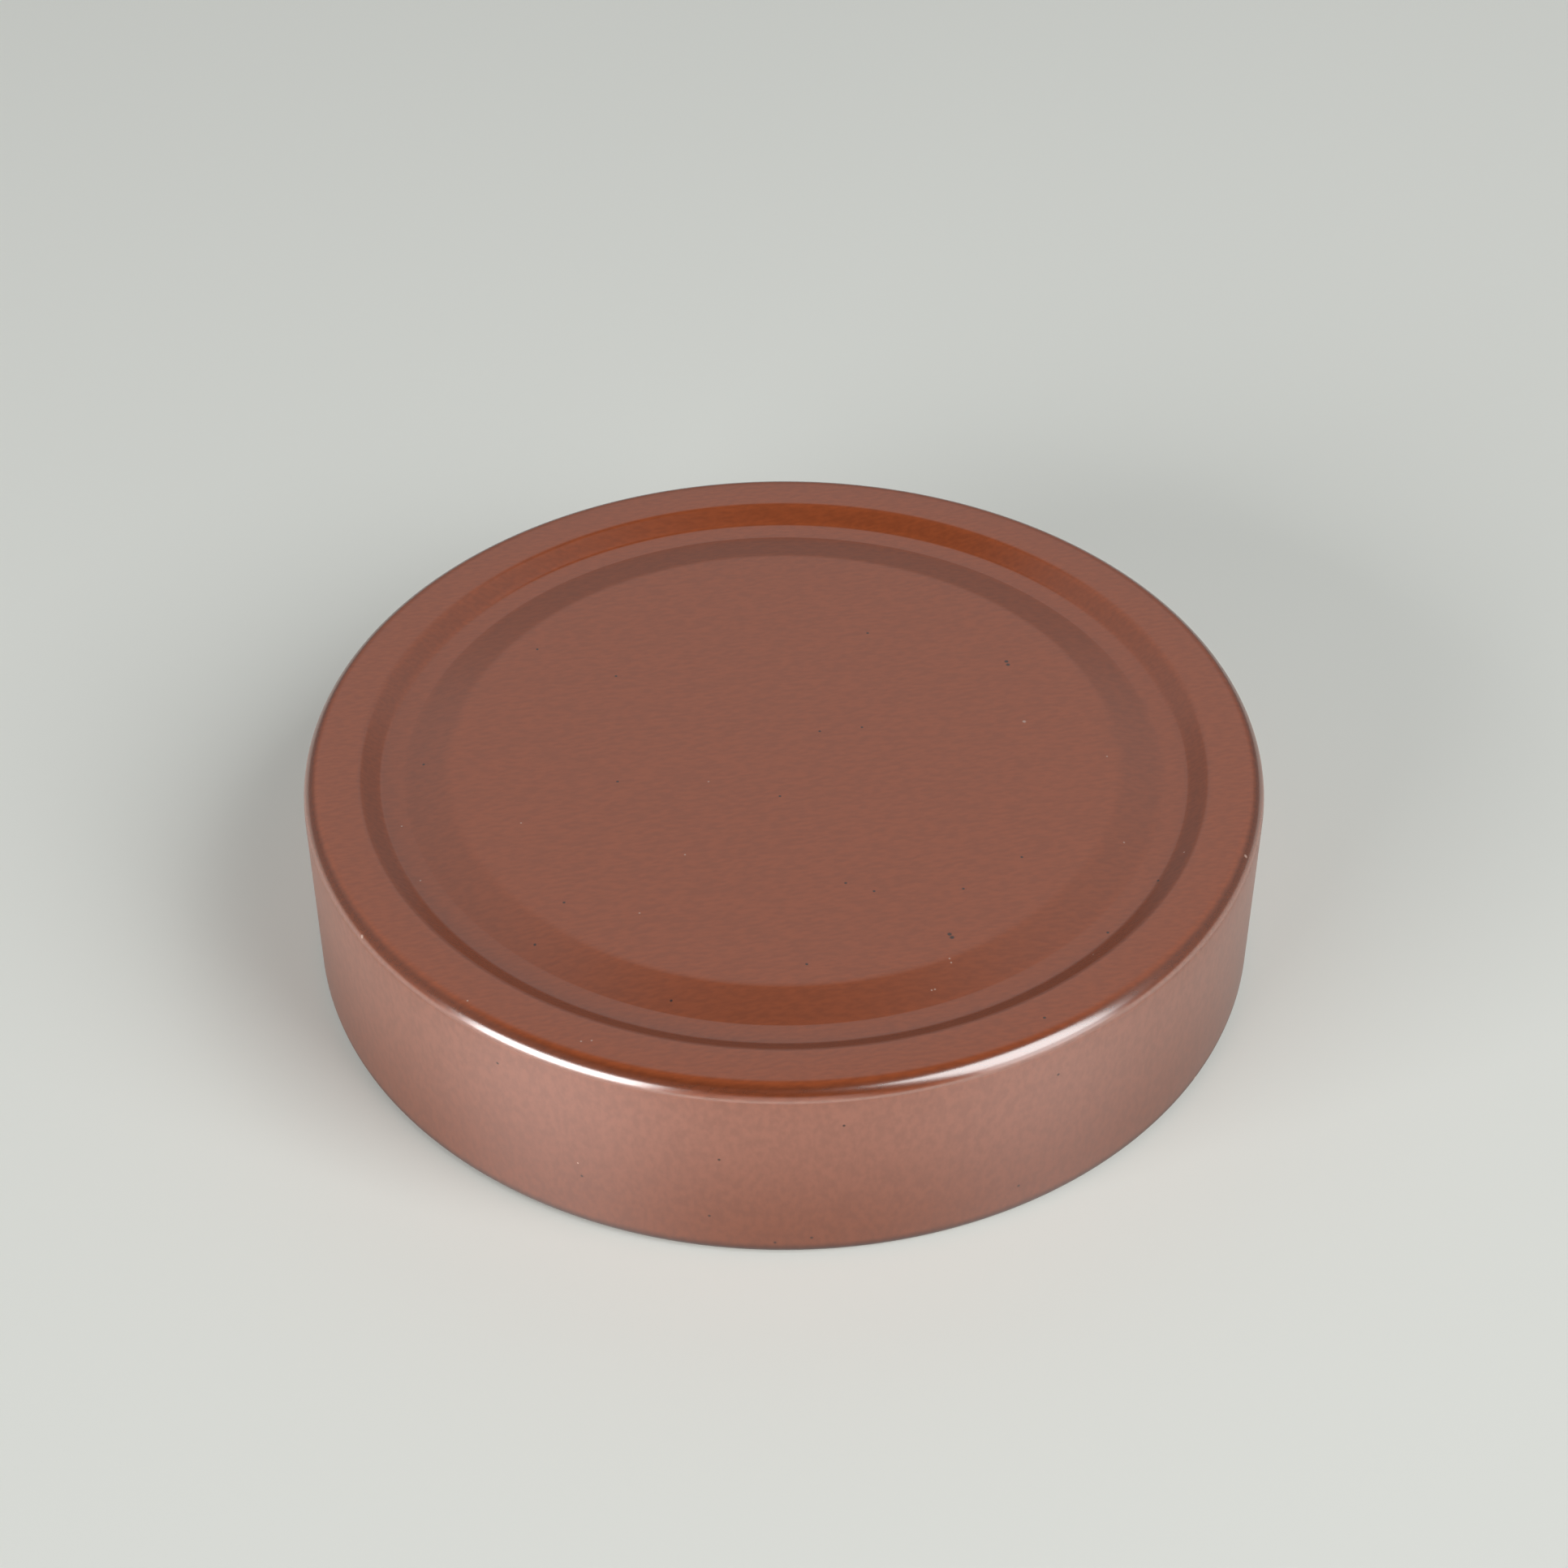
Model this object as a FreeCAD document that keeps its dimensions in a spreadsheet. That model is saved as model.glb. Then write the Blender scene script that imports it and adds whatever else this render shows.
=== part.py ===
"""Deep twist-off jar lid: one drawn tinplate cap with a rolled hem and four lugs, and its sealing ring.

The lid stands on its open edge: Z up, origin on the axis at the foot of the hem.
The cap is one blank of sheet. It was drawn to a cup, stepped down inside the rim, and its edge was
rolled inwards to a hem. At the lugs the hem is pressed flatter and further inwards, so that its nose
grips under a thread of the glass. The ring is the compound that was flowed in under the rim.
"""

import FreeCAD
import Part
import Sketcher
import enum
import math
import os

Vector = FreeCAD.Vector
Placement = FreeCAD.Placement
Rotation = FreeCAD.Rotation

# Driving dimensions, in millimetres.
SIZES = {
    "outer_diameter": 74.0,
    "lid_height": 16.5,
    "sheet_thickness": 0.18,
    "corner_radius": 1.4,
    "rim_width": 4.3,
    "step_run": 1.6,
    "step_depth": 1.1,
    "groove_width": 1.8,
    "ramp_run": 3.5,
    "ramp_rise": 0.65,
    "shoulder_radius": 0.8,
    "groove_radius": 0.6,
    "ramp_radius": 3.0,
    "hem_radius": 0.8,
    "hem_flat": 0.2,
    "hem_return": 0.65,
    "lug_count": 4,
    "lug_reach": 1.1,
    "lug_nose_radius": 0.55,
    "lug_length": 6.5,
    "lug_run_in": 3.0,
    "seal_thickness": 0.9,
    "seal_meniscus": 0.8,
    "seal_edge_radius": 0.4,
    "seal_setback": 0.3,
    "seal_clearance": 0.04,
}

# Sizes that follow from the driving ones, each a formula in the sheet, angles in degrees.
DERIVED = {
    "outer_radius": "=outer_diameter / 2",
    "rim_radius": "=outer_radius - rim_width",
    "groove_outer_radius": "=rim_radius - step_run",
    "groove_inner_radius": "=groove_outer_radius - groove_width",
    "panel_radius": "=groove_inner_radius - ramp_run",
    "groove_level": "=lid_height - step_depth",
    "panel_level": "=groove_level + ramp_rise",
    "hem_inner_radius": "=outer_radius - 2 * hem_radius - hem_flat",
    "lug_tip_radius": "=hem_inner_radius - lug_reach",
    "lug_flat": "=outer_radius - hem_radius - lug_nose_radius - lug_tip_radius",
    "lug_half_angle": "=lug_length / lug_tip_radius / 2 * 180 / pi",
    "run_in_angle": "=lug_run_in / lug_tip_radius * 180 / pi",
    "lug_pitch": "=360 / lug_count",
    "seal_top": "=lid_height - sheet_thickness",
    "seal_bottom": "=seal_top - seal_thickness",
    "seal_inner_radius": "=rim_radius + seal_setback",
    "seal_outer_radius": "=outer_radius - sheet_thickness - seal_clearance",
    "seal_corner_centre": "=outer_radius - corner_radius",
    "seal_corner_radius": "=seal_outer_radius - seal_corner_centre",
}

# Where the sections of a run-in lie, from the plain hem at 0 to the lug at 1. With seven of them
# the lofted wall keeps to the skirt's circle so closely that the two join without a seam.
RUN_IN_STEPS = [step / 6 for step in range(7)]


class At(enum.IntEnum):
    """The sketcher's numbers for a line's or an arc's own points."""

    START = 1
    END = 2
    CENTRE = 3


ORIGIN = (-1, At.START)


def make_sheet(doc):
    """The spreadsheet with every driving and derived dimension under its alias."""
    sheet = doc.addObject("Spreadsheet::Sheet", "sizes")
    for row, (alias, value) in enumerate({**SIZES, **DERIVED}.items(), start=1):
        sheet.set(f"A{row}", alias)
        sheet.set(f"B{row}", str(value))
        sheet.setAlias(f"B{row}", alias)
    doc.recompute()
    return sheet


def origin_feature(body, role):
    """One of the body's own origin planes or axes, such as XY_Plane."""
    return next(feature for feature in body.Origin.OriginFeatures if feature.Role == role)


def make_sketch(body, name):
    """An empty sketch on the body's own XZ plane: x is the radius and y is the height."""
    sketch = body.newObject("Sketcher::SketchObject", name)
    sketch.AttachmentSupport = (origin_feature(body, "XZ_Plane"), [""])
    sketch.MapMode = "FlatFace"
    return sketch


def turn_sketch(sketch, angle, formula):
    """Swing a section's plane about the lid's axis."""
    sketch.AttachmentOffset = Placement(Vector(), Rotation(Vector(0, 1, 0), angle))
    sketch.setExpression("AttachmentOffset.Rotation.Angle", formula)


def size(sketch, kind, *where, value, formula):
    """A dimension of the sketch that takes its value from the sheet."""
    index = sketch.addConstraint(Sketcher.Constraint(kind, *where, value))
    sketch.setExpression(f"Constraints[{index}]", formula)


def fix_point(sketch, sheet, geometry, end, x_alias, y_alias):
    """Place a vertex by its radius and height, or on an axis where an alias is None."""
    for kind, alias in (("DistanceX", x_alias), ("DistanceY", y_alias)):
        if alias is not None:
            where = (*ORIGIN, geometry, end)
            size(sketch, kind, *where, value=getattr(sheet, alias), formula=f"sizes.{alias}")


def draw_cup(sketch, sheet):
    """Half the outline of the cap as a full block, from the axis out over the rim and down."""
    corners = [
        ("panel_radius", "panel_level"),
        ("groove_inner_radius", "groove_level"),
        ("groove_outer_radius", "groove_level"),
        ("rim_radius", "lid_height"),
        ("outer_radius", "lid_height"),
        ("outer_radius", "hem_radius"),
    ]
    points = [Vector(getattr(sheet, x), getattr(sheet, y), 0) for x, y in corners]
    points = [Vector(0, sheet.panel_level, 0), *points, Vector(0, sheet.hem_radius, 0)]
    for start, end in zip(points, points[1:] + points[:1]):
        sketch.addGeometry(Part.LineSegment(start, end))
    last = len(points) - 1
    for line in range(len(points)):
        following = (line + 1) % len(points)
        sketch.addConstraint(Sketcher.Constraint("Coincident", line, At.END, following, At.START))
    sketch.addConstraint(Sketcher.Constraint("PointOnObject", 0, At.START, -2))
    sketch.addConstraint(Sketcher.Constraint("Horizontal", 0))
    sketch.addConstraint(Sketcher.Constraint("Horizontal", last - 1))
    sketch.addConstraint(Sketcher.Constraint("Vertical", last))
    for line, (x_alias, y_alias) in enumerate(corners):
        fix_point(sketch, sheet, line, At.END, x_alias, y_alias)


def draw_hem(sketch, sheet, blend):
    """The rolled edge in section: down from the skirt, in along the foot, round the nose and back.

    A blend of 0 is the plain hem, and 1 is a lug, which is flatter and reaches further in.
    """
    flat = sheet.hem_flat + blend * (sheet.lug_flat - sheet.hem_flat)
    nose = sheet.hem_radius + blend * (sheet.lug_nose_radius - sheet.hem_radius)
    wall = sheet.sheet_thickness
    outer = sheet.outer_radius
    foot_centre = Vector(outer - sheet.hem_radius, sheet.hem_radius, 0)
    nose_centre = Vector(foot_centre.x - flat, nose, 0)
    up = Vector(0, 0, 1)
    quarter = math.pi / 2

    def line(x1, y1, x2, y2):
        return sketch.addGeometry(Part.LineSegment(Vector(x1, y1, 0), Vector(x2, y2, 0)))

    def arc(centre, radius, first, last):
        circle = Part.Circle(centre, up, radius)
        return sketch.addGeometry(Part.ArcOfCircle(circle, first, last))

    back = nose_centre.x + sheet.hem_return
    foot = arc(foot_centre, sheet.hem_radius, -quarter, 0)
    under = line(foot_centre.x, 0, nose_centre.x, 0)
    tip = arc(nose_centre, nose, quarter, 3 * quarter)
    over = line(nose_centre.x, 2 * nose, back, 2 * nose)
    cut = line(back, 2 * nose, back, 2 * nose - wall)
    over_inner = line(back, 2 * nose - wall, nose_centre.x, 2 * nose - wall)
    tip_inner = arc(nose_centre, nose - wall, quarter, 3 * quarter)
    under_inner = line(nose_centre.x, wall, foot_centre.x, wall)
    foot_inner = arc(foot_centre, sheet.hem_radius - wall, -quarter, 0)
    root = line(outer - wall, sheet.hem_radius, outer, sheet.hem_radius)

    joints = [
        ("Tangent", foot, At.START, under, At.START),
        ("Tangent", under, At.END, tip, At.END),
        ("Tangent", tip, At.START, over, At.START),
        ("Coincident", over, At.END, cut, At.START),
        ("Coincident", cut, At.END, over_inner, At.START),
        ("Tangent", over_inner, At.END, tip_inner, At.START),
        ("Tangent", tip_inner, At.END, under_inner, At.START),
        ("Tangent", under_inner, At.END, foot_inner, At.START),
        ("Coincident", foot_inner, At.END, root, At.START),
        ("Coincident", root, At.END, foot, At.END),
        ("Coincident", foot, At.CENTRE, foot_inner, At.CENTRE),
        ("Coincident", tip, At.CENTRE, tip_inner, At.CENTRE),
        ("Horizontal", under),
        ("Horizontal", over),
        ("Vertical", cut),
        ("Horizontal", over_inner),
        ("Horizontal", under_inner),
        ("Horizontal", root),
        ("Horizontal", foot, At.CENTRE, foot, At.END),
        ("PointOnObject", under, At.START, -1),
    ]
    for kind, *where in joints:
        sketch.addConstraint(Sketcher.Constraint(kind, *where))

    flat_formula = f"sizes.hem_flat + {blend} * (sizes.lug_flat - sizes.hem_flat)"
    nose_formula = f"sizes.hem_radius + {blend} * (sizes.lug_nose_radius - sizes.hem_radius)"
    fix_point(sketch, sheet, root, At.END, "outer_radius", None)
    size(sketch, "Radius", foot, value=sheet.hem_radius, formula="sizes.hem_radius")
    size(sketch, "Radius", tip, value=nose, formula=nose_formula)
    size(sketch, "Distance", under, value=flat, formula=flat_formula)
    size(sketch, "Distance", over, value=sheet.hem_return, formula="sizes.hem_return")
    size(sketch, "Distance", root, value=wall, formula="sizes.sheet_thickness")


def circle_edges(shape, radius, height):
    """Names of the round edges about the axis at one radius and height."""
    names = []
    for index, edge in enumerate(shape.Edges, start=1):
        curve = edge.Curve
        if isinstance(curve, Part.Circle):
            if abs(curve.Radius - radius) < 1e-6 and abs(curve.Center.z - height) < 1e-6:
                names.append(f"Edge{index}")
    return names


def round_edges(body, name, radius_alias, places):
    """A fillet on the round edges at the given radii and heights."""
    base = body.Tip
    edges = []
    for radius, height in places:
        edges += circle_edges(base.Shape, radius, height)
    fillet = body.newObject("PartDesign::Fillet", name)
    fillet.Base = (base, edges)
    fillet.setExpression("Radius", f"sizes.{radius_alias}")
    body.Document.recompute()


def revolve(body, name, sketch, angle_formula):
    """Turn a section about the lid's axis."""
    feature = body.newObject("PartDesign::Revolution", name)
    feature.Profile = (sketch, [""])
    feature.ReferenceAxis = (origin_feature(body, "Z_Axis"), [""])
    feature.setExpression("Angle", angle_formula)
    return feature


def hem_section(body, sheet, name, side, blend_step):
    """One section of the hem beside or in a lug, on the side -1 or 1 of the lug's middle."""
    blend = blend_step ** 2 * (3 - 2 * blend_step)
    formula = f"{side} * (sizes.lug_half_angle + {1 - blend_step} * sizes.run_in_angle) * 1 deg"
    angle = side * (sheet.lug_half_angle + (1 - blend_step) * sheet.run_in_angle)
    sketch = make_sketch(body, name)
    turn_sketch(sketch, angle, formula)
    draw_hem(sketch, sheet, blend)
    return sketch


def make_run_in(body, sheet, name, side):
    """The stretch where the hem turns into a lug, lofted through a few sections."""
    sections = []
    for number, step in enumerate(RUN_IN_STEPS):
        sections.append(hem_section(body, sheet, f"{name}_section_{number}", side, step))
    loft = body.newObject("PartDesign::AdditiveLoft", name)
    loft.Profile = (sections[0], [""])
    loft.Sections = [(section, [""]) for section in sections[1:]]
    return loft, sections


def make_shell(doc, sheet):
    """The drawn cap: cup with its stepped panel, shelled to the sheet, then the hem and its lugs."""
    body = doc.addObject("PartDesign::Body", "lid_shell")
    body.Label = "lid_shell"

    outline = make_sketch(body, "cup_outline")
    draw_cup(outline, sheet)
    revolve(body, "cup", outline, "360 deg")
    doc.recompute()

    round_edges(body, "corner", "corner_radius", [(sheet.outer_radius, sheet.lid_height)])
    round_edges(body, "shoulder", "shoulder_radius", [(sheet.rim_radius, sheet.lid_height)])
    groove_places = [
        (sheet.groove_outer_radius, sheet.groove_level),
        (sheet.groove_inner_radius, sheet.groove_level),
    ]
    round_edges(body, "groove_bends", "groove_radius", groove_places)
    round_edges(body, "ramp_top", "ramp_radius", [(sheet.panel_radius, sheet.panel_level)])

    base = body.Tip
    open_face = [
        f"Face{index}"
        for index, face in enumerate(base.Shape.Faces, start=1)
        if face.BoundBox.ZMax < sheet.hem_radius + 1e-6
    ]
    wall = body.newObject("PartDesign::Thickness", "sheet_wall")
    wall.Base = (base, open_face)
    wall.Mode = "Skin"
    wall.Join = "Arc"
    wall.Reversed = True
    wall.setExpression("Value", "sizes.sheet_thickness")
    doc.recompute()

    run_in, run_in_sections = make_run_in(body, sheet, "lug_run_in_left", -1)
    run_out, run_out_sections = make_run_in(body, sheet, "lug_run_in_right", 1)
    lug = revolve(body, "lug", run_in_sections[-1], "2 * sizes.lug_half_angle * 1 deg")
    hem_angle = "(sizes.lug_pitch - 2 * sizes.lug_half_angle - 2 * sizes.run_in_angle) * 1 deg"
    hem = revolve(body, "hem", run_out_sections[0], hem_angle)
    doc.recompute()

    ring = body.newObject("PartDesign::PolarPattern", "hem_round_the_lid")
    ring.Originals = [run_in, run_out, lug, hem]
    ring.Axis = (origin_feature(body, "Z_Axis"), [""])
    ring.Angle = 360
    ring.setExpression("Occurrences", "sizes.lug_count")
    body.Tip = ring
    doc.recompute()
    return body


def make_seal(doc, sheet):
    """The ring of compound under the rim, which seats on the mouth of the glass."""
    body = doc.addObject("PartDesign::Body", "sealing_ring")
    body.Label = "sealing_ring"
    sketch = make_sketch(body, "ring_section")

    top = sheet.seal_top
    bottom = sheet.seal_bottom
    inner = sheet.seal_inner_radius
    outer = sheet.seal_outer_radius
    edge = sheet.seal_edge_radius
    creep = sheet.seal_meniscus
    corner = sheet.seal_corner_radius
    centre = sheet.seal_corner_centre
    quarter = math.pi / 2
    up = Vector(0, 0, 1)

    def line(x1, y1, x2, y2):
        return sketch.addGeometry(Part.LineSegment(Vector(x1, y1, 0), Vector(x2, y2, 0)))

    def arc(x, y, radius, first, last):
        circle = Part.Circle(Vector(x, y, 0), up, radius)
        return sketch.addGeometry(Part.ArcOfCircle(circle, first, last))

    roof = line(inner, top, centre, top)
    bend = arc(centre, top - corner, corner, 0, quarter)
    side = line(outer, top - corner, outer, bottom - creep)
    meniscus = arc(outer - creep, bottom - creep, creep, 0, quarter)
    face = line(outer - creep, bottom, inner + edge, bottom)
    lip = arc(inner + edge, bottom + edge, edge, 2 * quarter, 3 * quarter)
    inside = line(inner, bottom + edge, inner, top)

    joints = [
        ("Tangent", roof, At.END, bend, At.END),
        ("Tangent", bend, At.START, side, At.START),
        ("Tangent", side, At.END, meniscus, At.START),
        ("Tangent", meniscus, At.END, face, At.START),
        ("Tangent", face, At.END, lip, At.END),
        ("Tangent", lip, At.START, inside, At.START),
        ("Coincident", inside, At.END, roof, At.START),
        ("Horizontal", roof),
        ("Vertical", side),
        ("Horizontal", face),
        ("Vertical", inside),
    ]
    for kind, *where in joints:
        sketch.addConstraint(Sketcher.Constraint(kind, *where))
    fix_point(sketch, sheet, roof, At.START, "seal_inner_radius", "seal_top")
    fix_point(sketch, sheet, roof, At.END, "seal_corner_centre", None)
    fix_point(sketch, sheet, face, At.START, None, "seal_bottom")
    size(sketch, "Radius", bend, value=corner, formula="sizes.seal_corner_radius")
    size(sketch, "Radius", meniscus, value=creep, formula="sizes.seal_meniscus")
    size(sketch, "Radius", lip, value=edge, formula="sizes.seal_edge_radius")
    revolve(body, "ring", sketch, "360 deg")
    doc.recompute()
    return body


def check(doc, bodies):
    """Stop if any object failed to build, or if a piece is not one sound solid."""
    for item in doc.Objects:
        faults = [state for state in item.State if state in ("Invalid", "Error")]
        if faults:
            raise RuntimeError(f"{item.Label} is {faults}")
    for body in bodies:
        if body.Shape.isNull() or not body.Shape.isValid() or len(body.Shape.Solids) != 1:
            raise RuntimeError(f"{body.Label} is not one valid solid")


def main():
    doc = FreeCAD.newDocument("twist_off_lid")
    sheet = make_sheet(doc)
    bodies = [make_shell(doc, sheet), make_seal(doc, sheet)]
    check(doc, bodies)
    os.makedirs("parts", exist_ok=True)
    for body in bodies:
        body.Shape.exportStep(f"parts/{body.Label}.step")
        print(body.Label, "volume", round(body.Shape.Volume, 2), "box", body.Shape.BoundBox)


main()
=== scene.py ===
# %% [markdown]
# # A deep twist-off jar lid
#
# The lid is one blank of lacquered tinplate, drawn to a cup, with a ring of sealing compound under
# its rim. It stands on its open edge, as it would be put down on a table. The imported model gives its
# place and its outer size, and everything below is built around that.

# %% Load the frame
import math

import bmesh
import bpy
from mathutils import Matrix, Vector
from mathutils.bvhtree import BVHTree


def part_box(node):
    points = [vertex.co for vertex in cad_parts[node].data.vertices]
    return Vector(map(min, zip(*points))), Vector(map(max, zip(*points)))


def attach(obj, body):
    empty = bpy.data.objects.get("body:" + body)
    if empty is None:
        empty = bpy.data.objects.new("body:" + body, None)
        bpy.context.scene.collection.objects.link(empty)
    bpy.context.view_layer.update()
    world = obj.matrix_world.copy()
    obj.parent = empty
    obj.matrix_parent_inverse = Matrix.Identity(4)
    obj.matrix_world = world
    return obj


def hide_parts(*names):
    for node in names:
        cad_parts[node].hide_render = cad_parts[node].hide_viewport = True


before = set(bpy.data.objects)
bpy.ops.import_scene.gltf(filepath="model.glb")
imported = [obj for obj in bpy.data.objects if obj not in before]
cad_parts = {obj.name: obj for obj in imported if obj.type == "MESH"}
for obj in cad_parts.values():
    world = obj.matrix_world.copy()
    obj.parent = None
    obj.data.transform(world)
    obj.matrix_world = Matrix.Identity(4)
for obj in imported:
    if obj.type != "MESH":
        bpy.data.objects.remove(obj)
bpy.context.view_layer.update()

print("pieces in the packed model:", sorted(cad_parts))

# %% [markdown]
# ## The measures
#
# A lid maker's drawing gives a section through the sheet's outer face: how far out each bend lies, how
# high, and how tightly it is bent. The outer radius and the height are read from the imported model, and
# the rest are the drawing's own sizes in millimetres. Levels are heights above the table.

# %% Sizes of the section
MM = 0.001
LOW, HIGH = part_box("lid_shell")
OUTER_RADIUS = (HIGH.x - LOW.x) / 2
LID_HEIGHT = HIGH.z - LOW.z
SHEET = 0.18 * MM

CORNER_BEND = 1.4 * MM
RIM_RADIUS = OUTER_RADIUS - 4.3 * MM
GROOVE_OUTER = RIM_RADIUS - 1.6 * MM
GROOVE_INNER = GROOVE_OUTER - 1.8 * MM
PANEL_RADIUS = GROOVE_INNER - 3.5 * MM
GROOVE_LEVEL = LID_HEIGHT - 1.1 * MM
PANEL_LEVEL = GROOVE_LEVEL + 0.65 * MM
SHOULDER_BEND = 0.8 * MM
GROOVE_BEND = 0.6 * MM
RAMP_BEND = 3.0 * MM

HEM_BEND = 0.8 * MM
HEM_FLAT = 0.2 * MM
HEM_RETURN = 0.65 * MM
NOSE_CENTRE = OUTER_RADIUS - HEM_BEND - HEM_FLAT
HEM_INNER = NOSE_CENTRE - HEM_BEND
print("outer diameter", round(2 * OUTER_RADIUS / MM, 2), "mm, height", round(LID_HEIGHT / MM, 2), "mm")

# %% [markdown]
# ## The camera
#
# The photograph was taken from in front and above, through a lens a little longer than normal. Its
# place is given by how far it is from the middle of the lid's foot and how high it stands over the
# table, and its tilt by how far it looks down.

# %% The camera
CAMERA_DISTANCE = 249.1 * MM
CAMERA_HEIGHT_ANGLE = math.radians(42.56)
CAMERA_LOOKS_DOWN = math.radians(40.31)
SENSOR_WIDTH = 36.0
LENS = 70.73
NEAREST_SEEN = 10 * MM
FARTHEST_SEEN = 20.0

camera = bpy.data.objects.new("camera", bpy.data.cameras.new("camera"))
bpy.context.scene.collection.objects.link(camera)
camera.data.sensor_width = SENSOR_WIDTH
camera.data.lens = LENS
camera.data.clip_start = NEAREST_SEEN
camera.data.clip_end = FARTHEST_SEEN
camera.location = (
    0,
    -CAMERA_DISTANCE * math.cos(CAMERA_HEIGHT_ANGLE),
    CAMERA_DISTANCE * math.sin(CAMERA_HEIGHT_ANGLE),
)
camera.rotation_euler = (math.pi / 2 - CAMERA_LOOKS_DOWN, 0, 0)
bpy.context.scene.camera = camera
bpy.context.scene.view_settings.view_transform = "Standard"
print("camera at", [round(value / MM, 1) for value in camera.location], "mm")

# %% [markdown]
# ## Drawing a bent outline
#
# A section of bent sheet is straight runs joined by arcs. It could be typed in as a list of points, but
# a maker thinks of corners and the radius each is bent to. So the outline is drawn as with a pen: the
# pen's last vertex is extruded along a straight run, and then spun about the centre of the bend, which
# gives a true arc that leaves one run and meets the next without a kink.

# %% The pen
DEGREES_PER_STEP = 7.5
MERGE_DISTANCE = 0.0001 * MM
SHORTEST_RUN = SHEET / 100


def draw_run(mesh, tip, place):
    """Extrude the pen's vertex in a straight line."""
    made = bmesh.ops.extrude_vert_indiv(mesh, verts=[tip])["verts"][0]
    made.co = place
    return made


def draw_bend(mesh, tip, centre, turn):
    """Spin the pen's vertex about the centre of a bend."""
    steps = max(2, round(abs(math.degrees(turn)) / DEGREES_PER_STEP))
    axis = (0, 1, 0)
    made = bmesh.ops.spin(mesh, geom=[tip], cent=centre, axis=axis, angle=turn, steps=steps)
    return next(item for item in made["geom_last"] if isinstance(item, bmesh.types.BMVert))


def draw_outline(mesh, corners):
    """A wire in the XZ plane through (radius, height, bend radius) corners."""
    places = [Vector((radius, 0, height)) for radius, height, _ in corners]
    tip = mesh.verts.new(places[0])
    for number in range(1, len(corners) - 1):
        come = (places[number] - places[number - 1]).normalized()
        go = (places[number + 1] - places[number]).normalized()
        turn = math.atan2(come.cross(go).y, come.dot(go))
        bend = corners[number][2]
        set_back = bend * math.tan(abs(turn) / 2)
        start = places[number] - come * set_back
        if (start - tip.co).length > SHORTEST_RUN:
            tip = draw_run(mesh, tip, start)
        side = Vector((0, math.copysign(1, turn), 0)).cross(come)
        tip = draw_bend(mesh, tip, tip.co + side * bend, turn)
    return draw_run(mesh, tip, places[-1])


# %% [markdown]
# ## The drawn sheet
#
# The press makes the whole lid from one disc, so it is made here from one outline too. The outline of
# the outer face is drawn from the axis out over the panel, down the slope, along the groove, up the
# step to the rim, round the corner, down the skirt and round the hem, and then spun once about the
# axis. The panel's run is cut into rings first, so that its faces aren't long slivers. No two faces share
# three corners, so three of a face's vertices are enough to put it in a fixed order.

# %% Spin the outer face
ROUND_STEPS = 360
PANEL_RINGS = 9
SKIRT_RINGS = 5
ENOUGH_CORNERS = 3

SHELL_CORNERS = [
    (0, PANEL_LEVEL, 0),
    (PANEL_RADIUS, PANEL_LEVEL, RAMP_BEND),
    (GROOVE_INNER, GROOVE_LEVEL, GROOVE_BEND),
    (GROOVE_OUTER, GROOVE_LEVEL, GROOVE_BEND),
    (RIM_RADIUS, LID_HEIGHT, SHOULDER_BEND),
    (OUTER_RADIUS, LID_HEIGHT, CORNER_BEND),
    (OUTER_RADIUS, 0, HEM_BEND),
    (HEM_INNER, 0, HEM_BEND),
    (HEM_INNER, 2 * HEM_BEND, HEM_BEND),
    (NOSE_CENTRE + HEM_RETURN, 2 * HEM_BEND, 0),
]


def cut_long_runs(mesh):
    """Cut the panel's run and the skirt's run into rings."""
    by_length = sorted(mesh.edges, key=lambda edge: edge.calc_length())
    skirt_run, panel_run = by_length[-2:]
    bmesh.ops.subdivide_edges(mesh, edges=[panel_run], cuts=PANEL_RINGS)
    bmesh.ops.subdivide_edges(mesh, edges=[skirt_run], cuts=SKIRT_RINGS)


def put_in_order(mesh):
    """Order edges and faces by their vertices' numbers, because a spin makes them in no fixed order."""
    mesh.verts.index_update()
    count = len(mesh.verts)

    def by_vertices(element):
        number = 0
        for index in sorted(vertex.index for vertex in element.verts)[:ENOUGH_CORNERS]:
            number = number * count + index
        return number

    mesh.edges.sort(key=by_vertices)
    mesh.faces.sort(key=by_vertices)


def spin_round(mesh):
    """Spin the wire once round the lid's axis, and close the seam and the middle."""
    geometry = [*mesh.verts, *mesh.edges]
    centre, axis = (0, 0, 0), (0, 0, 1)
    bmesh.ops.spin(
        mesh, geom=geometry, cent=centre, axis=axis, angle=math.tau, steps=ROUND_STEPS, use_merge=True
    )
    bmesh.ops.remove_doubles(mesh, verts=mesh.verts, dist=MERGE_DISTANCE)
    put_in_order(mesh)
    bmesh.ops.recalc_face_normals(mesh, faces=mesh.faces)


shell_mesh = bmesh.new()
draw_outline(shell_mesh, SHELL_CORNERS)
cut_long_runs(shell_mesh)
spin_round(shell_mesh)
panel_faces = [face for face in shell_mesh.faces if face.calc_center_median().xy.length < PANEL_RADIUS / 2]
if sum(face.normal.z for face in panel_faces) < 0:
    bmesh.ops.reverse_faces(shell_mesh, faces=shell_mesh.faces)
print("the outer face has", len(shell_mesh.faces), "faces")

# %% [markdown]
# ## The lugs
#
# A lug is no extra piece. At four places the press squeezes the rolled hem flatter and pushes its nose
# further in, so that it can catch under a thread of the glass, and runs back into the plain hem on
# both sides. The nose is an arc in every section, so a lug is made by moving that arc's centre inwards
# and shrinking its radius, more or less, by how near the section lies to the middle of a lug.

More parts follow.
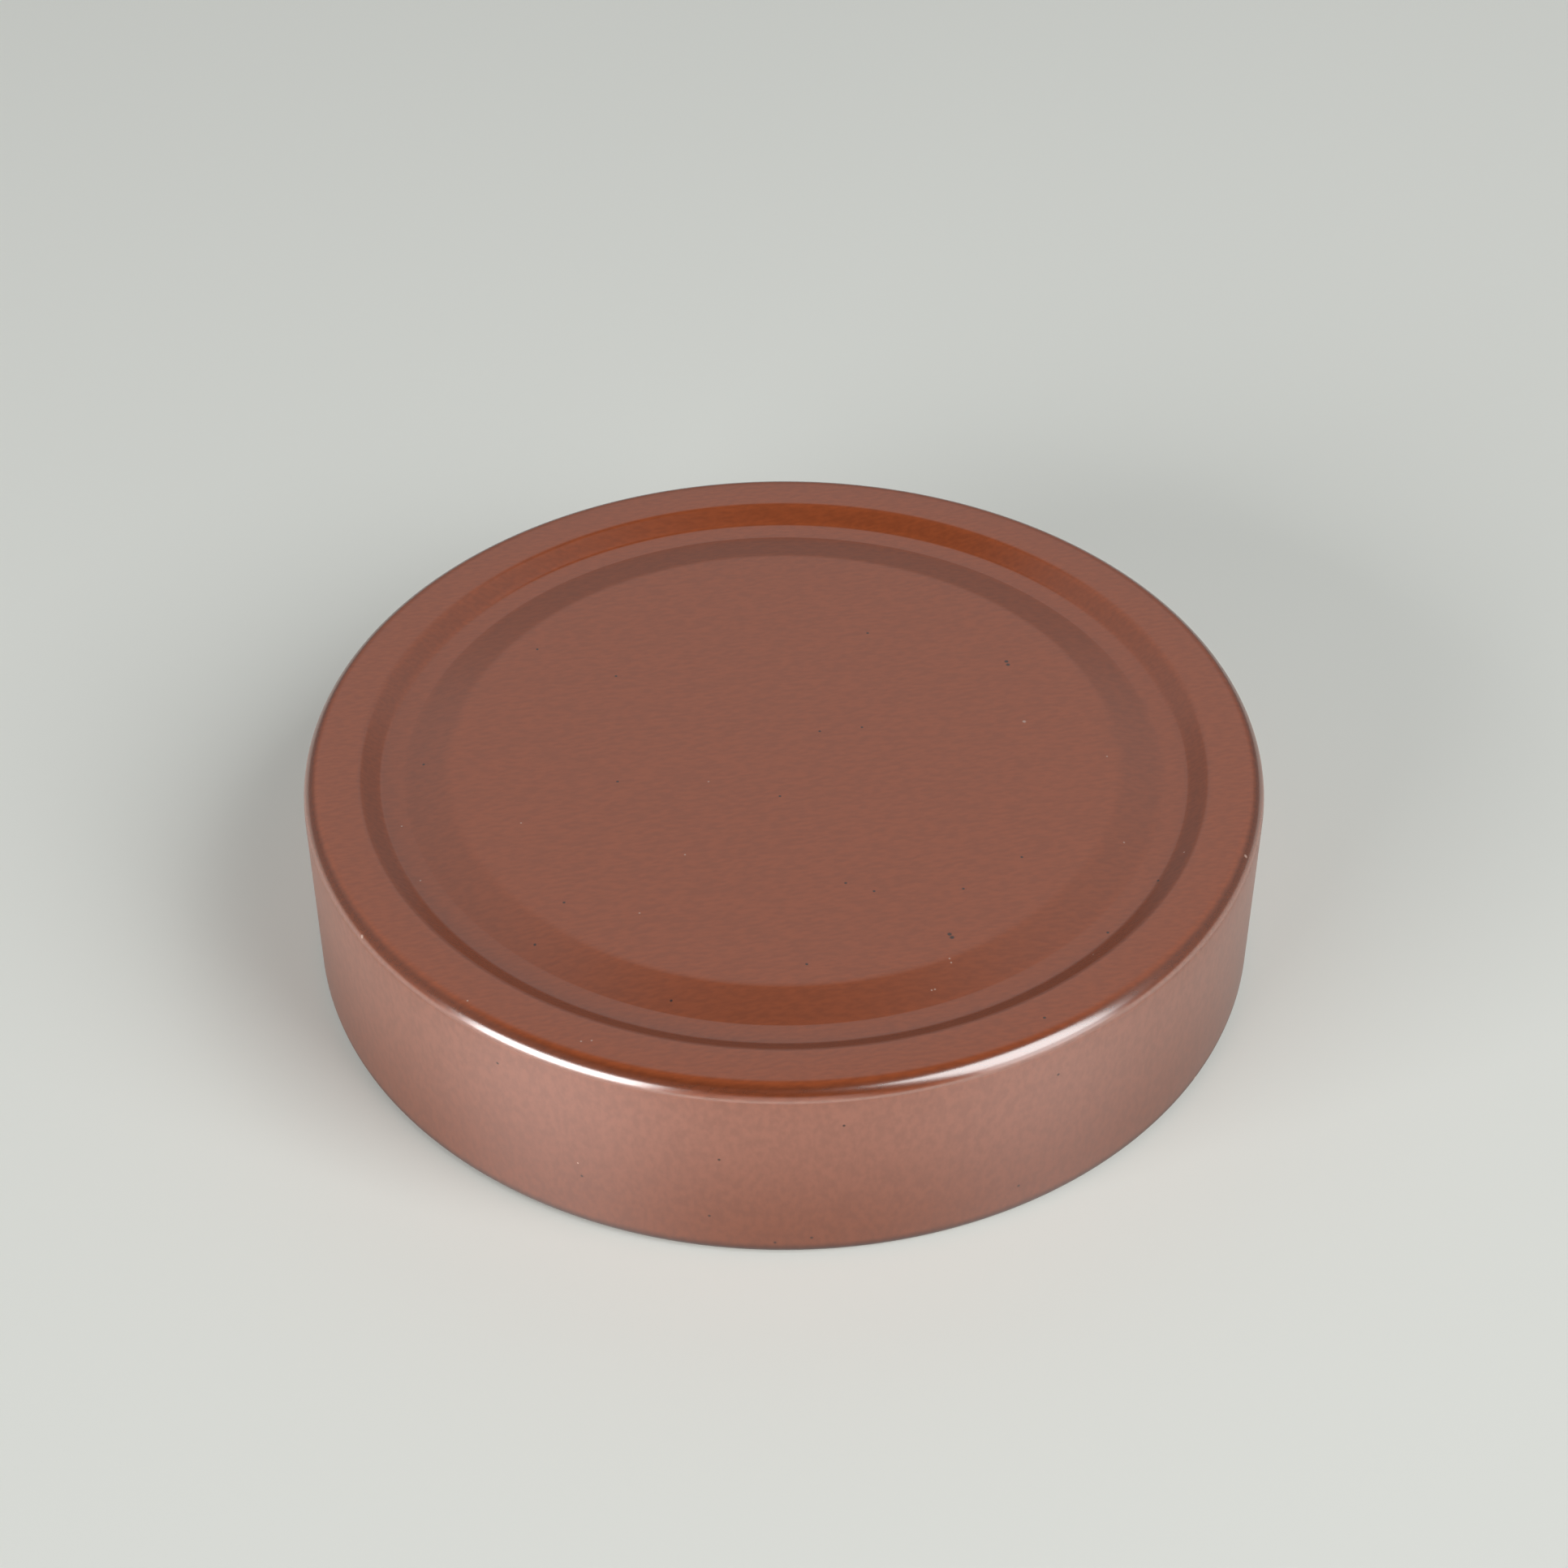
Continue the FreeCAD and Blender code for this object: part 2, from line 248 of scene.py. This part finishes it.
# %% Press the lugs
LUG_COUNT = 4
LUG_TIP = HEM_INNER - 1.1 * MM
LUG_NOSE = 0.55 * MM
LUG_CENTRE = LUG_TIP + LUG_NOSE
LUG_HALF_ANGLE = 6.5 * MM / LUG_TIP / 2
RUN_IN_ANGLE = 3.0 * MM / LUG_TIP
LUG_PITCH = math.tau / LUG_COUNT


def lug_share(angle):
    """0 on the plain hem and 1 on a lug, with a smooth run between."""
    from_middle = abs((angle + LUG_PITCH / 2) % LUG_PITCH - LUG_PITCH / 2)
    share = 1 - (from_middle - LUG_HALF_ANGLE) / RUN_IN_ANGLE
    share = min(1, max(0, share))
    return share * share * (3 - 2 * share)


def press_lug(place):
    """Where a point of the plain hem's nose or return lies after the press."""
    share = lug_share(math.atan2(place.y, place.x))
    squeeze = 1 + share * (LUG_NOSE / HEM_BEND - 1)
    centre = NOSE_CENTRE + share * (LUG_CENTRE - NOSE_CENTRE)
    out = place.xy.length - NOSE_CENTRE
    radius = centre + (out * squeeze if out < 0 else out)
    flat = place.xy.normalized() * radius
    return Vector((flat.x, flat.y, place.z * squeeze))


FOOT_CENTRE = OUTER_RADIUS - HEM_BEND
for vertex in shell_mesh.verts:
    radius = vertex.co.xy.length
    on_nose = vertex.co.z < LID_HEIGHT / 2 and radius < FOOT_CENTRE - MERGE_DISTANCE
    on_return = abs(vertex.co.z - 2 * HEM_BEND) < MERGE_DISTANCE and radius < OUTER_RADIUS - SHEET
    if on_nose or on_return:
        vertex.co = press_lug(vertex.co)
print(LUG_COUNT, "lugs reach in to a radius of", round(LUG_TIP / MM, 2), "mm")

# %% [markdown]
# ## Where the specks lie
#
# The lid in the photograph isn't clean. Dark specks and a few pale ones, bits of lint and tiny chips in
# the lacquer lie scattered over it. A random scatter would do for just any lid, but these are the marks
# of this one, so each is given by its pixel in the photograph. A ray from the camera through that pixel
# finds the spot on the sheet, and so the mark stays on the metal when it is seen from another side.

# %% Find each speck on the sheet
PHOTO_WIDTH = 1932
LARGE_DARK_PIXELS = [(1240, 815), (1242, 819), (1170, 1151), (1173, 1155)]
DARK_PIXELS = [
    (662, 800), (761, 963), (961, 981), (1010, 901), (1062, 896), (1069, 780), (1042, 1088),
    (1077, 1098), (1187, 1095), (994, 1188), (1259, 1056), (1427, 1085), (1365, 1149), (695, 1112),
    (659, 1164), (827, 1233), (759, 833), (522, 942), (1287, 1254), (613, 1310), (886, 1429),
    (1040, 1387), (1255, 1461), (874, 1498), (955, 1531), (1304, 1324), (717, 1449), (1000, 1525),
    (1519, 1233),
]
LARGE_PALE_PIXELS = [(1262, 889), (446, 1154), (1535, 1055), (1472, 1328)]
PALE_PIXELS = [
    (1364, 932), (1385, 1038), (1459, 1050), (642, 1014), (495, 1018), (518, 1085), (844, 1053),
    (788, 1125), (873, 963), (576, 1233), (1347, 1176), (712, 1433), (716, 1283), (729, 1282),
    (1170, 1181), (1172, 1186), (1148, 1220), (1152, 1219),
]
shell_faces = BVHTree.FromBMesh(shell_mesh)


def spots_seen_at(pixels):
    """The spots on the sheet that lie behind pixels of the photograph."""
    spots = []
    for pixel in pixels:
        across, down = [(value / PHOTO_WIDTH - 0.5) * SENSOR_WIDTH / LENS for value in pixel]
        way = camera.rotation_euler.to_matrix() @ Vector((across, -down, -1))
        spots.append(shell_faces.ray_cast(camera.location, way)[0])
    return [spot for spot in spots if spot]


large_dark_spots = spots_seen_at(LARGE_DARK_PIXELS)
dark_spots = spots_seen_at(DARK_PIXELS)
large_pale_spots = spots_seen_at(LARGE_PALE_PIXELS)
pale_spots = spots_seen_at(PALE_PIXELS)
all_dark, all_pale = dark_spots + large_dark_spots, pale_spots + large_pale_spots
print(len(all_dark), "dark specks and", len(all_pale), "pale ones")

# %% [markdown]
# ## Colours and nodes
#
# Colours are written as a screen shows them, because that is how a finish is matched, and one
# function turns them into the linear values that light works with. One small function adds a node and
# sets or links its inputs, and another makes a material from a list of its shader's inputs, so that each
# finish below reads as a recipe.

# %% Helpers for the finishes
PAIRS_START_AT = (1, 3, 5)
BRIGHTEST = 255
DARK_END = 0.04045
DARK_SLOPE = 12.92
CURVE_OFFSET = 0.055
CURVE_POWER = 2.4


def linear_value(shown):
    """One value of an sRGB colour, from 0 to 1, as a linear value."""
    if shown <= DARK_END:
        return shown / DARK_SLOPE
    return ((shown + CURVE_OFFSET) / (1 + CURVE_OFFSET)) ** CURVE_POWER


def linear(hex_colour):
    """An sRGB hex colour as linear red, green, blue and a full alpha."""
    shown = [int(hex_colour[at:at + 2], 16) / BRIGHTEST for at in PAIRS_START_AT]
    return (*map(linear_value, shown), 1)


def add_node(tree, kind, inputs=None, **settings):
    """Add a node, set its own settings, and set or link each input by its name or number."""
    node = tree.nodes.new(kind)
    for name, value in settings.items():
        setattr(node, name, value)
    for name, value in (inputs or {}).items():
        if isinstance(value, bpy.types.NodeSocket):
            tree.links.new(value, node.inputs[name])
        else:
            node.inputs[name].default_value = value
    return node


MIX_FIRST = 6
MIX_SECOND = 7
MIX_RESULT = 2


def mix_colours(tree, share, first, second):
    """Blend two colours. The Mix node keeps its colour sockets behind those for numbers and vectors."""
    inputs = {"Factor": share, MIX_FIRST: first, MIX_SECOND: second}
    return add_node(tree, "ShaderNodeMix", inputs, data_type="RGBA").outputs[MIX_RESULT]


def map_range(tree, value, low, high, to_low, to_high, interpolation="SMOOTHSTEP"):
    """Carry a value from one range over to another, and stop at its ends."""
    inputs = {"Value": value, "From Min": low, "From Max": high, "To Min": to_low, "To Max": to_high}
    return add_node(tree, "ShaderNodeMapRange", inputs, interpolation_type=interpolation).outputs["Result"]


def new_finish(name, recipe):
    """A material with its shader's inputs set by name, its node tree and its shader."""
    material = bpy.data.materials.new(name)
    material.use_nodes = True
    tree = material.node_tree
    shader = tree.nodes["Principled BSDF"]
    for socket, value in recipe.items():
        shader.inputs[socket].default_value = value
    return material, tree, shader


print("black and white as linear values:", linear("#000000")[:3], linear("#FFFFFF")[:3])

# %% [markdown]
# ## Copper-tinted lacquer
#
# The outer face is tinplate under a clear lacquer tinted like copper. Light that goes through the
# lacquer to the metal and back comes out deep orange brown, and is spread almost evenly, because the
# plate under it has a dull rolled face. Light that the lacquer itself sends back has no tint: it lays a
# pale veil where the lid mirrors something bright, and the bare deep colour shows where it mirrors
# something dark. A plain rough metal would tint its glints, and those in the photograph are white. So
# the base is nearly matt, with a little metal in it, and a hard clear coat over it does the mirroring.
#
# The flat top and most of the corner keep the colour of the sheet as it was printed. The skirt is drawn
# out of that sheet, and its colour is paler, pinker and duller than the top's, palest just under the
# corner and deeper towards its foot. Where the hem turns under, a dark line of painted shade is laid
# over it. Over the corner, down the step and a little on the slope, where the press bends the top,
# painted shade darkens the printed colour. Each of those bends has its middle, how far from there its
# full shade reaches, and where it fades out.

# %% Colour of the top
TOP_COLOUR = linear("#A34F26")
SKIRT_FOOT_COLOUR = linear("#7D4229")
SKIRT_TOP_COLOUR = linear("#97604D")
BLEND_FROM = OUTER_RADIUS - 0.25 * MM
BLEND_TO = OUTER_RADIUS - 0.05 * MM
CORNER_MIDDLE = OUTER_RADIUS - 0.5 * MM
STEP_MIDDLE = (RIM_RADIUS + GROOVE_OUTER) / 2
SLOPE_MIDDLE = (GROOVE_INNER + PANEL_RADIUS) / 2
# Painted shade at the bends of the top: its middle, how far its full shade reaches, where it fades out.
CORNER_PAINTED_SHADE = {"middle": CORNER_MIDDLE, "full": 0.1 * MM, "fades": 0.6 * MM, "shade": 0.48}
STEP_PAINTED_SHADE = {"middle": STEP_MIDDLE, "full": 0.3 * MM, "fades": 1.1 * MM, "shade": 0.74}
SLOPE_PAINTED_SHADE = {"middle": SLOPE_MIDDLE, "full": 1.0 * MM, "fades": 2.2 * MM, "shade": 0.86}


def bend_painted_shade(tree, radius, middle, full, fades, shade):
    """Painted shade: a share that falls from 1 to a shade where the sheet is bent."""
    offset = add_node(tree, "ShaderNodeMath", {0: radius, 1: middle}, operation="SUBTRACT")
    away = add_node(tree, "ShaderNodeMath", {0: offset.outputs[0]}, operation="ABSOLUTE")
    return map_range(tree, away.outputs[0], full, fades, shade, 1)


def top_colour(tree, places):
    """The printed colour, darkened by painted shade where it is bent, and blended into the skirt's."""
    flat = add_node(tree, "ShaderNodeVectorMath", {0: places, 1: (1, 1, 0)}, operation="MULTIPLY")
    radius = add_node(tree, "ShaderNodeVectorMath", {0: flat.outputs["Vector"]}, operation="LENGTH")
    radius = radius.outputs["Value"]
    corner = bend_painted_shade(tree, radius, **CORNER_PAINTED_SHADE)
    step = bend_painted_shade(tree, radius, **STEP_PAINTED_SHADE)
    slope = bend_painted_shade(tree, radius, **SLOPE_PAINTED_SHADE)
    inside = add_node(tree, "ShaderNodeMath", {0: step, 1: slope}, operation="MULTIPLY").outputs[0]
    shade = add_node(tree, "ShaderNodeMath", {0: corner, 1: inside}, operation="MULTIPLY").outputs[0]
    # The printed colour, darkened by the painted shade of the bends.
    printed = add_node(tree, "ShaderNodeVectorMath", {0: TOP_COLOUR[:3], "Scale": shade}, operation="SCALE")
    blend = map_range(tree, radius, BLEND_FROM, BLEND_TO, 0, 1)
    return mix_colours(tree, blend, printed.outputs["Vector"], SKIRT_TOP_COLOUR)


print("printed colour, as linear values:", [round(value, 3) for value in TOP_COLOUR[:3]])

# %% Colour of the skirt
# The skirt's colour is palest at this height and deeper towards its foot.
SKIRT_PALEST_HEIGHT = 14.5 * MM
# Painted shade where the hem turns under at the foot of the skirt.
HEM_TURN_PAINTED_SHADE = linear("#4A261A")
HEM_TURN_FROM = 0.45 * MM
HEM_TURN_TO = 1.3 * MM


def skirt_colour(tree, places):
    """Palest under the corner and deeper towards the foot, with painted shade where the hem turns under."""
    height = add_node(tree, "ShaderNodeSeparateXYZ", {0: places}).outputs["Z"]
    paleness = map_range(tree, height, 0, SKIRT_PALEST_HEIGHT, 0, 1)
    drawn = mix_colours(tree, paleness, SKIRT_FOOT_COLOUR, SKIRT_TOP_COLOUR)
    above_hem = map_range(tree, height, HEM_TURN_FROM, HEM_TURN_TO, 0, 1)
    return mix_colours(tree, above_hem, HEM_TURN_PAINTED_SHADE, drawn)


print("the haze thins out over", round(SKIRT_PALEST_HEIGHT / MM, 1), "mm, down to the foot")

# %% [markdown]
# ## The grain
#
# The rollers leave fine short streaks in the plate, all one way. Drawing the skirt breaks them up into a
# soft mottle, a little taller than it is wide. A noise stretched along the streaks gives both: the
# Mapping node divides the place on the lid by the length and the width of a streak, so its numbers are
# real sizes. The real marks are finer still, and these are drawn as coarse as they need to be to show.

# %% Rolled streaks on the top and a drawn mottle on the skirt
ROLLING_TURN = math.radians(10)
ROLLED_STREAK = (0.9 * MM, 0.28 * MM, 0.28 * MM)
DRAWN_MOTTLE = (0.5 * MM, 0.5 * MM, 0.8 * MM)
GRAIN_LOW = 0.35
GRAIN_HIGH = 0.65
GRAIN_CONTRAST = 0.09


def grain_lightness(tree, places, size, turn):
    """Noise about 1 whose features have a given size along each axis, turned about the lid's axis."""
    inputs = {"Vector": places, "Rotation": (0, 0, turn), "Scale": size}
    turned = add_node(tree, "ShaderNodeMapping", inputs, vector_type="TEXTURE").outputs["Vector"]
    grain = add_node(tree, "ShaderNodeTexNoise", {"Vector": turned, "Scale": 1.0, "Detail": 2.0}).outputs[0]
    return map_range(
        tree, grain, GRAIN_LOW, GRAIN_HIGH, 1 - GRAIN_CONTRAST, 1 + GRAIN_CONTRAST, "LINEAR"
    )


print("streaks", round(ROLLED_STREAK[0] / MM, 2), "mm long and", round(ROLLED_STREAK[1] / MM, 2), "mm wide")

# %% [markdown]
# ## The specks
#
# Each speck is a soft round patch of colour about its spot. For specks of one size, the distance to the
# nearest of them tells how far a place on the sheet lies from any, and one ramp turns that into a share.

# %% Draw the specks
SPECK = 0.16 * MM
LARGE_SPECK = 0.24 * MM
SPECK_CORE = 0.3
DARK_SPECK_COLOUR = linear("#3C1A0C")
PALE_SPECK_COLOUR = linear("#C9A493")
PALE_SPECK = 0.10 * MM
LARGE_PALE_SPECK = 0.2 * MM


def speck_share(tree, places, spots, size):
    """1 at the middle of a speck and 0 away from all of them."""
    nearest = None
    for spot in spots:
        away = add_node(tree, "ShaderNodeVectorMath", {0: places, 1: spot}, operation="DISTANCE")
        away = away.outputs["Value"]
        if nearest:
            away = add_node(tree, "ShaderNodeMath", {0: nearest, 1: away}, operation="MINIMUM").outputs[0]
        nearest = away
    return map_range(tree, nearest, size * SPECK_CORE, size, 1, 0)


def lay_specks(tree, places, colour, kinds):
    """Lay specks over a colour, one kind after another: their spots, size and own colour."""
    for spots, size, speck_colour in kinds:
        colour = mix_colours(tree, speck_share(tree, places, spots, size), colour, speck_colour)
    return colour


SPECKS = [
    (dark_spots, SPECK, DARK_SPECK_COLOUR),
    (large_dark_spots, LARGE_SPECK, DARK_SPECK_COLOUR),
    (pale_spots, PALE_SPECK, PALE_SPECK_COLOUR),
    (large_pale_spots, LARGE_PALE_SPECK, PALE_SPECK_COLOUR),
]
print(len(SPECKS), "kinds of speck")

# %% [markdown]
# ## Gloss of the top and of the skirt
#
# The top and the skirt are one lacquer with two glosses. The top mirrors in all directions alike. The
# draw has roughened the skirt in fine level ripples, and so it spreads light up and down far more than
# sideways: a lamp shows in it as a tall soft band and not as a spot. The skirt is anisotropic for that,
# with its tangent straight up. The top's coat has a higher IOR than a real lacquer's 1.5, matched to how
# strongly the top mirrors in the photograph.

# %% Two glosses of one lacquer


def make_lacquer(name, colour, mottle, turn, gloss):
    """One gloss of the lacquer, with its colour, its grain and the specks."""
    material, tree, shader = new_finish(name, gloss)
    places = add_node(tree, "ShaderNodeTexCoord").outputs["Object"]
    lightness = grain_lightness(tree, places, mottle, turn)
    inputs = {0: colour(tree, places), "Scale": lightness}
    grained = add_node(tree, "ShaderNodeVectorMath", inputs, operation="SCALE").outputs["Vector"]
    specked = lay_specks(tree, places, grained, SPECKS)
    tree.links.new(specked, shader.inputs["Base Color"])
    return material, tree, shader


top_gloss = {
    "Metallic": 0.15,
    "Roughness": 0.6,
    "Specular IOR Level": 0.0,
    "Coat Weight": 1.0,
    "Coat Roughness": 0.21,
    "Coat IOR": 2.4,
}
lacquer, _, _ = make_lacquer(
    "copper_tinted_lacquer", top_colour, ROLLED_STREAK, ROLLING_TURN, top_gloss
)

skirt_gloss = {
    "Metallic": 0.12,
    "Roughness": 0.6,
    "Specular IOR Level": 0.9,
    "Anisotropic": 0.8,
    "Coat Weight": 0.7,
    "Coat Roughness": 0.3,
    "Coat IOR": 1.5,
}
drawn_lacquer, tree, shader = make_lacquer(
    "copper_tinted_lacquer_drawn", skirt_colour, DRAWN_MOTTLE, 0, skirt_gloss
)
upright = add_node(tree, "ShaderNodeCombineXYZ", {"Z": 1.0})
tree.links.new(upright.outputs["Vector"], shader.inputs["Tangent"])
print("two glosses:", lacquer.name, "and", drawn_lacquer.name)

# %% [markdown]
# ## Finishes of the inside
#
# The inside is coated with a white food enamel, which is baked on and comes out smooth, with a soft
# gloss. The blank is cut after it is coated, so its edge is bare steel, bright and grey. The sealing
# compound is a soft vinyl, off-white and matt, because it cures without a mould over it.

# %% White inner enamel and bare cut edge
enamel_recipe = {"Base Color": linear("#E6E3DA"), "Roughness": 0.28}
enamel, _, _ = new_finish("white_food_enamel", enamel_recipe)

steel_recipe = {"Metallic": 1.0, "Base Color": linear("#B4B2AE"), "Roughness": 0.4}
cut_edge, _, _ = new_finish("bare_cut_steel", steel_recipe)
print("inside and edge:", enamel.name, "and", cut_edge.name)

# %% Sealing compound
compound_recipe = {"Base Color": linear("#D9D2C2"), "Roughness": 0.6}
compound, _, _ = new_finish("sealing_compound", compound_recipe)
print("ring:", compound.name)

# %% [markdown]
# ## Finishing a piece of mesh
#
# Every piece ends the same way: it is shaded smooth and written to an object at the origin with its
# materials, it is tied to the lid's one body, and the imported piece that it stands for is hidden.

# %% From bmesh to a piece of the lid


def finish_piece(mesh, name, node, materials):
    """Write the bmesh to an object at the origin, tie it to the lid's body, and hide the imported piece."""
    for face in mesh.faces:
        face.smooth = True
    data = bpy.data.meshes.new(name)
    mesh.to_mesh(data)
    mesh.free()
    for material in materials:
        data.materials.append(material)
    piece = bpy.data.objects.new(name, data)
    bpy.context.scene.collection.objects.link(piece)
    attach(piece, "root")
    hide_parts(node)
    print(name, "has", len(data.vertices), "vertices and", len(data.polygons), "faces")
    return piece


# %% [markdown]
# ## The sheet's thickness
#
# What is built so far is the sheet's outer face. A Solidify modifier gives it the sheet's thickness on
# the inner side only, keeps the wall even round the bends, and gives the inner face and the cut edge
# their own finishes, as the real sheet has them. It counts the inner face's finish on from the outer
# one's, and the outer face has two, so the enamel stands in the list twice.

# %% Give the sheet its wall
DRAWN_SIDE = 1
INNER_SIDE = 2
CUT_SIDE = 4
DRAWN_STARTS = math.radians(75)

drawn_top = LID_HEIGHT - CORNER_BEND * (1 - math.cos(DRAWN_STARTS))
drawn_radius = OUTER_RADIUS - CORNER_BEND * (1 - math.sin(DRAWN_STARTS))
HEM_LINE = HEM_BEND / 8
FOOT_EDGE = OUTER_RADIUS - HEM_BEND / 2
for face in shell_mesh.faces:
    middle = face.calc_center_median()
    on_skirt = middle.xy.length > min(drawn_radius, FOOT_EDGE) and HEM_LINE < middle.z < drawn_top
    face.material_index = DRAWN_SIDE if on_skirt else 0

finishes = [lacquer, drawn_lacquer, enamel, enamel, cut_edge]
shell = finish_piece(shell_mesh, "lid_sheet", "lid_shell", finishes)
wall = shell.modifiers.new("sheet_wall", "SOLIDIFY")
wall.thickness = SHEET
wall.offset = -1
wall.use_even_offset = True
wall.use_quality_normals = True
wall.material_offset = INNER_SIDE
wall.material_offset_rim = CUT_SIDE
print("sheet", SHEET / MM, "mm thick")

# %% [markdown]
# ## The sealing ring
#
# The compound is poured in as a liquid while the lid spins, and cures there. It fills the channel under
# the rim, climbs the skirt a little in a hollow curve, and has a rounded inner edge. It is drawn and
# spun like the sheet.

# %% Pour the sealing ring
SEAL_TOP = LID_HEIGHT - SHEET
SEAL_FACE = SEAL_TOP - 0.9 * MM
SEAL_INNER = RIM_RADIUS + 0.3 * MM
SEAL_OUTER = OUTER_RADIUS - SHEET - 0.04 * MM
SEAL_CREEP = 0.8 * MM
SEAL_EDGE = 0.4 * MM
SEAL_CORNER = SEAL_OUTER - (OUTER_RADIUS - CORNER_BEND)

RING_CORNERS = [
    (SEAL_INNER, SEAL_TOP, 0),
    (SEAL_OUTER, SEAL_TOP, SEAL_CORNER),
    (SEAL_OUTER, SEAL_FACE - SEAL_CREEP, 0),
]

ring_mesh = bmesh.new()
last = draw_outline(ring_mesh, RING_CORNERS)
meniscus_centre = Vector((SEAL_OUTER - SEAL_CREEP, 0, SEAL_FACE - SEAL_CREEP))
last = draw_bend(ring_mesh, last, meniscus_centre, -math.pi / 2)
last = draw_run(ring_mesh, last, Vector((SEAL_INNER + SEAL_EDGE, 0, SEAL_FACE)))
last = draw_bend(ring_mesh, last, last.co + Vector((0, 0, SEAL_EDGE)), math.pi / 2)
draw_run(ring_mesh, last, Vector((SEAL_INNER, 0, SEAL_TOP)))
bmesh.ops.remove_doubles(ring_mesh, verts=ring_mesh.verts, dist=MERGE_DISTANCE)
spin_round(ring_mesh)
finish_piece(ring_mesh, "compound_ring", "sealing_ring", [compound])

# %% [markdown]
# ## The table
#
# The lid stands on a plain pale surface that runs on far past the picture. In the photograph it is
# nearly as pale in the lid's shadow as beside it. A lamp to lift the shadow would show on the lid too, so
# the surface has a faint glow that only the camera and the lid's own reflections see, and that lights
# nothing.

# %% The table
TABLE_SIZE = 3.0

table_recipe = {
    "Base Color": linear("#E4E6E1"),
    "Roughness": 0.8,
    "Specular IOR Level": 0.2,
    "Emission Color": linear("#595B58"),
}
table_finish, tree, shader = new_finish("pale_table", table_recipe)
ray = add_node(tree, "ShaderNodeLightPath").outputs
seen = add_node(tree, "ShaderNodeMath", {0: ray["Is Camera Ray"], 1: ray["Is Glossy Ray"]}, operation="ADD")
tree.links.new(seen.outputs[0], shader.inputs["Emission Strength"])

table_mesh = bmesh.new()
bmesh.ops.create_grid(table_mesh, x_segments=1, y_segments=1, size=TABLE_SIZE / 2)
table_data = bpy.data.meshes.new("table")
table_mesh.to_mesh(table_data)
table_mesh.free()
table_data.materials.append(table_finish)
table = bpy.data.objects.new("table", table_data)
bpy.context.scene.collection.objects.link(table)
print("table", TABLE_SIZE, "m wide")

# %% [markdown]
# ## The light
#
# Much of what a lid like this shows is what it mirrors, so its light is set up as for silver. Two bright
# softboxes in front draw the two white glints on the corner and the two pale bands down the skirt. The
# left one stands on the table, and the right one hangs higher, over a dimmer card. A wide dim card
# between them lights the front of the skirt. Azimuth 0 is in front of the lid and 90 is on its right,
# both angles are in degrees, and the other sizes are in metres.

# %% The lamps


def add_softbox(name, azimuth, elevation, distance, width, height, radiance):
    """A flat lamp that faces the lid, given by its size in metres and how bright its face is."""
    lamp = bpy.data.lights.new(name, "AREA")
    lamp.shape = "RECTANGLE"
    lamp.size = width
    lamp.size_y = height
    lamp.energy = radiance * width * height * math.pi
    lamp_object = bpy.data.objects.new(name, lamp)
    bpy.context.scene.collection.objects.link(lamp_object)
    turn, up = math.radians(azimuth), math.radians(elevation)
    away = Vector((math.sin(turn) * math.cos(up), -math.cos(turn) * math.cos(up), math.sin(up)))
    lamp_object.location = away * distance
    lamp_object.rotation_mode = "QUATERNION"
    lamp_object.rotation_quaternion = away.to_track_quat("Z", "Y")
    print(name, "at azimuth", azimuth, "and elevation", elevation)


LEFT_SOFTBOX = {"distance": 1.0, "width": 0.68, "height": 0.52, "radiance": 8.0}
RIGHT_SOFTBOX = {"distance": 1.0, "width": 0.60, "height": 0.68, "radiance": 4.6}
RIGHT_CARD = {"distance": 1.0, "width": 0.54, "height": 0.40, "radiance": 2.4}
FRONT_CARD = {"distance": 1.2, "width": 0.60, "height": 0.48, "radiance": 0.45}

add_softbox("left_softbox", azimuth=-47, elevation=14, **LEFT_SOFTBOX)
add_softbox("right_softbox", azimuth=55, elevation=41, **RIGHT_SOFTBOX)
add_softbox("right_card", azimuth=55, elevation=12, **RIGHT_CARD)
add_softbox("front_card", azimuth=2, elevation=12, **FRONT_CARD)

# %% [markdown]
# ## The room
#
# The room is dark on the side of the camera and gets lighter towards the back, where the pale wall is
# that the top of the lid mirrors. Near the table the back is dimmer again, and so is the ceiling, which
# gives the slope in front and the step behind their deep colour. The world paints this by direction: its
# Generated coordinates are the direction that a ray leaves in. Their Y is -1 to the front and 1 to the
# back, and their Z is 0 at the horizon and 1 straight up.

# %% The room
ROOM_LIGHT = 0.36
DARK_IN_FRONT = -0.85
LIGHT_AT_BACK = 0.8
LOW_SHARE = 0.6
LOW_ENDS = math.sin(math.radians(20))
WALL_STARTS = math.sin(math.radians(30))
WALL_ENDS = math.sin(math.radians(54))
CEILING_STARTS = math.sin(math.radians(66))
CEILING_SHARE = 0.2

room = bpy.data.worlds.new("room")
bpy.context.scene.world = room
room.use_nodes = True
tree = room.node_tree
way = add_node(tree, "ShaderNodeTexCoord").outputs["Generated"]
sides = add_node(tree, "ShaderNodeSeparateXYZ", {0: way})
backward = map_range(tree, sides.outputs["Y"], DARK_IN_FRONT, LIGHT_AT_BACK, 0, ROOM_LIGHT, "LINEAR")
upward = map_range(tree, sides.outputs["Z"], LOW_ENDS, WALL_STARTS, 0, 1)
low_back = map_range(tree, sides.outputs["Y"], 0, LIGHT_AT_BACK, 1, LOW_SHARE, "LINEAR")
dimming = add_node(tree, "ShaderNodeMath", {0: low_back, 1: upward}, operation="MAXIMUM")
ceiling = map_range(tree, sides.outputs["Z"], WALL_ENDS, CEILING_STARTS, 1, CEILING_SHARE)
walls = add_node(tree, "ShaderNodeMath", {0: backward, 1: dimming.outputs[0]}, operation="MULTIPLY")
strength = add_node(tree, "ShaderNodeMath", {0: walls.outputs[0], 1: ceiling}, operation="MULTIPLY")
background = tree.nodes["Background"]
background.inputs["Color"].default_value = (1, 1, 1, 1)
tree.links.new(strength.outputs[0], background.inputs["Strength"])
print("room light up to", ROOM_LIGHT)
